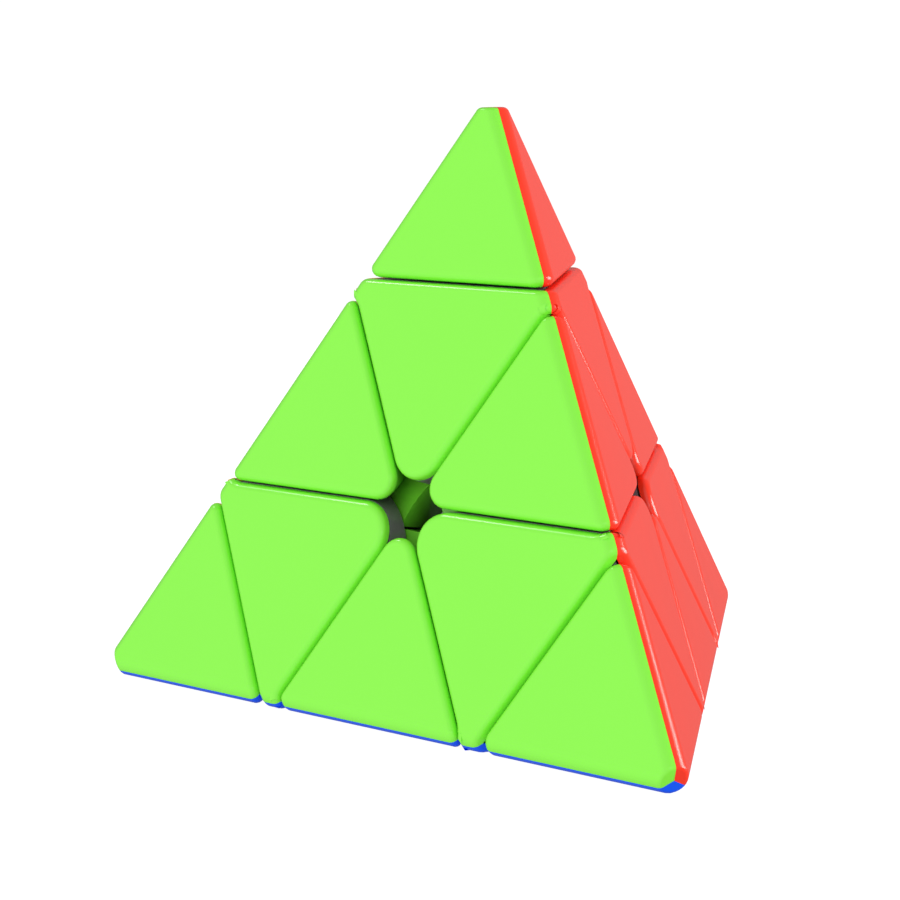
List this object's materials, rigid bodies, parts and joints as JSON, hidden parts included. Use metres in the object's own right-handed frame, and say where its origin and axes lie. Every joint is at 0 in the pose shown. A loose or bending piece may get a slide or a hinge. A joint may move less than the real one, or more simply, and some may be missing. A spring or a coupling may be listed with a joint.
{
  "type": "pyramid twisty puzzle",
  "caption": "Four-sided pyramid puzzle with turning corner layers, turning tips and edge pieces held on a sprung core.",
  "frame": {"origin": "centre of the core, where the four turning axes meet, which is also the centroid of the pyramid", "axes": "+Z from the centre through the top corner, square to the blue base; +X along the front base edge, from the left corner to the right; +Y away from the green front face"},
  "size_m": [0.0986, 0.0859, 0.0804],
  "materials": {
    "green": "polished moulded plastic, bright green",
    "red": "polished moulded plastic, bright red",
    "blue": "polished moulded plastic, bright blue",
    "yellow": "polished moulded plastic, bright yellow",
    "grey_plastic": "satin moulded plastic, mid grey",
    "core_plastic": "satin moulded plastic, off-white",
    "zinc_steel": "bright zinc-plated steel",
    "spring_steel": "drawn steel wire"
  },
  "bodies": {
    "core": {"core": "core_plastic", "screw_top": "zinc_steel", "washer_top": "zinc_steel", "spring_top": "spring_steel", "screw_left": "zinc_steel", "washer_left": "zinc_steel", "spring_left": "spring_steel", "screw_right": "zinc_steel", "washer_right": "zinc_steel", "spring_right": "spring_steel", "screw_back": "zinc_steel", "washer_back": "zinc_steel", "spring_back": "spring_steel"},
    "axial_top": {"hub_top": "grey_plastic", "cap_top_green": "green", "cap_top_red": "red", "cap_top_yellow": "yellow"},
    "tip_top": {"tip_hub_top": "grey_plastic", "tip_top_green": "green", "tip_top_red": "red", "tip_top_yellow": "yellow"},
    "axial_left": {"hub_left": "grey_plastic", "cap_left_green": "green", "cap_left_blue": "blue", "cap_left_yellow": "yellow"},
    "tip_left": {"tip_hub_left": "grey_plastic", "tip_left_green": "green", "tip_left_blue": "blue", "tip_left_yellow": "yellow"},
    "axial_right": {"hub_right": "grey_plastic", "cap_right_green": "green", "cap_right_red": "red", "cap_right_blue": "blue"},
    "tip_right": {"tip_hub_right": "grey_plastic", "tip_right_green": "green", "tip_right_red": "red", "tip_right_blue": "blue"},
    "axial_back": {"hub_back": "grey_plastic", "cap_back_red": "red", "cap_back_blue": "blue", "cap_back_yellow": "yellow"},
    "tip_back": {"tip_hub_back": "grey_plastic", "tip_back_red": "red", "tip_back_blue": "blue", "tip_back_yellow": "yellow"},
    "edge_top_left": {"edge_top_left_green": "green", "edge_top_left_yellow": "yellow"},
    "edge_top_right": {"edge_top_right_green": "green", "edge_top_right_red": "red"},
    "edge_top_back": {"edge_top_back_red": "red", "edge_top_back_yellow": "yellow"},
    "edge_left_right": {"edge_left_right_green": "green", "edge_left_right_blue": "blue"},
    "edge_left_back": {"edge_left_back_blue": "blue", "edge_left_back_yellow": "yellow"},
    "edge_right_back": {"edge_right_back_red": "red", "edge_right_back_blue": "blue"}
  },
  "joints": [
    {"name": "layer_top_turn", "type": "hinge", "parent": "core", "child": "axial_top", "pos_m": [0, 0, 0], "axis": [0, 0, 1], "range_deg": [-120, 120]},
    {"name": "layer_left_turn", "type": "hinge", "parent": "core", "child": "axial_left", "pos_m": [0, 0, 0], "axis": [-0.8165, -0.4714, -0.3333], "range_deg": [-240, 120]},
    {"name": "layer_right_turn", "type": "hinge", "parent": "core", "child": "axial_right", "pos_m": [0, 0, 0], "axis": [0.8165, -0.4714, -0.3333], "range_deg": [-120, 240]},
    {"name": "layer_back_turn", "type": "hinge", "parent": "core", "child": "axial_back", "pos_m": [0, 0, 0], "axis": [0, 0.9428, -0.3333], "range_deg": [-120, 120]},
    {"name": "tip_top_turn", "type": "hinge", "parent": "axial_top", "child": "tip_top", "pos_m": [0, 0, 0], "axis": [0, 0, 1], "continuous": true},
    {"name": "tip_left_turn", "type": "hinge", "parent": "axial_left", "child": "tip_left", "pos_m": [0, 0, 0], "axis": [-0.8165, -0.4714, -0.3333], "continuous": true},
    {"name": "tip_right_turn", "type": "hinge", "parent": "axial_right", "child": "tip_right", "pos_m": [0, 0, 0], "axis": [0.8165, -0.4714, -0.3333], "continuous": true},
    {"name": "tip_back_turn", "type": "hinge", "parent": "axial_back", "child": "tip_back", "pos_m": [0, 0, 0], "axis": [0, 0.9428, -0.3333], "continuous": true},
    {"name": "edge_top_left_follow", "type": "hinge", "parent": "axial_top", "child": "edge_top_left", "pos_m": [0, 0, 0], "axis": [-0.8165, -0.4714, -0.3333], "range_deg": [-240, 120]},
    {"name": "edge_top_right_follow", "type": "hinge", "parent": "axial_top", "child": "edge_top_right", "pos_m": [0, 0, 0], "axis": [0.8165, -0.4714, -0.3333], "range_deg": [-120, 240]},
    {"name": "edge_top_back_follow", "type": "hinge", "parent": "axial_back", "child": "edge_top_back", "pos_m": [0, 0, 0], "axis": [0, 0, 1], "range_deg": [-120, 120]},
    {"name": "edge_left_right_follow", "type": "hinge", "parent": "axial_left", "child": "edge_left_right", "pos_m": [0, 0, 0], "axis": [0.8165, -0.4714, -0.3333], "range_deg": [-120, 240]},
    {"name": "edge_left_back_follow", "type": "hinge", "parent": "axial_left", "child": "edge_left_back", "pos_m": [0, 0, 0], "axis": [0, 0.9428, -0.3333], "range_deg": [-120, 120]},
    {"name": "edge_right_back_follow", "type": "hinge", "parent": "axial_right", "child": "edge_right_back", "pos_m": [0, 0, 0], "axis": [0, 0.9428, -0.3333], "range_deg": [-120, 120]}
  ],
  "couplings": [
    {"joint": "edge_top_left_follow", "follows": "layer_left_turn", "ratio": 1},
    {"joint": "edge_top_right_follow", "follows": "layer_right_turn", "ratio": 1},
    {"joint": "edge_top_back_follow", "follows": "layer_top_turn", "ratio": 1},
    {"joint": "edge_left_right_follow", "follows": "layer_right_turn", "ratio": 1},
    {"joint": "edge_left_back_follow", "follows": "layer_back_turn", "ratio": 1},
    {"joint": "edge_right_back_follow", "follows": "layer_back_turn", "ratio": 1}
  ]
}
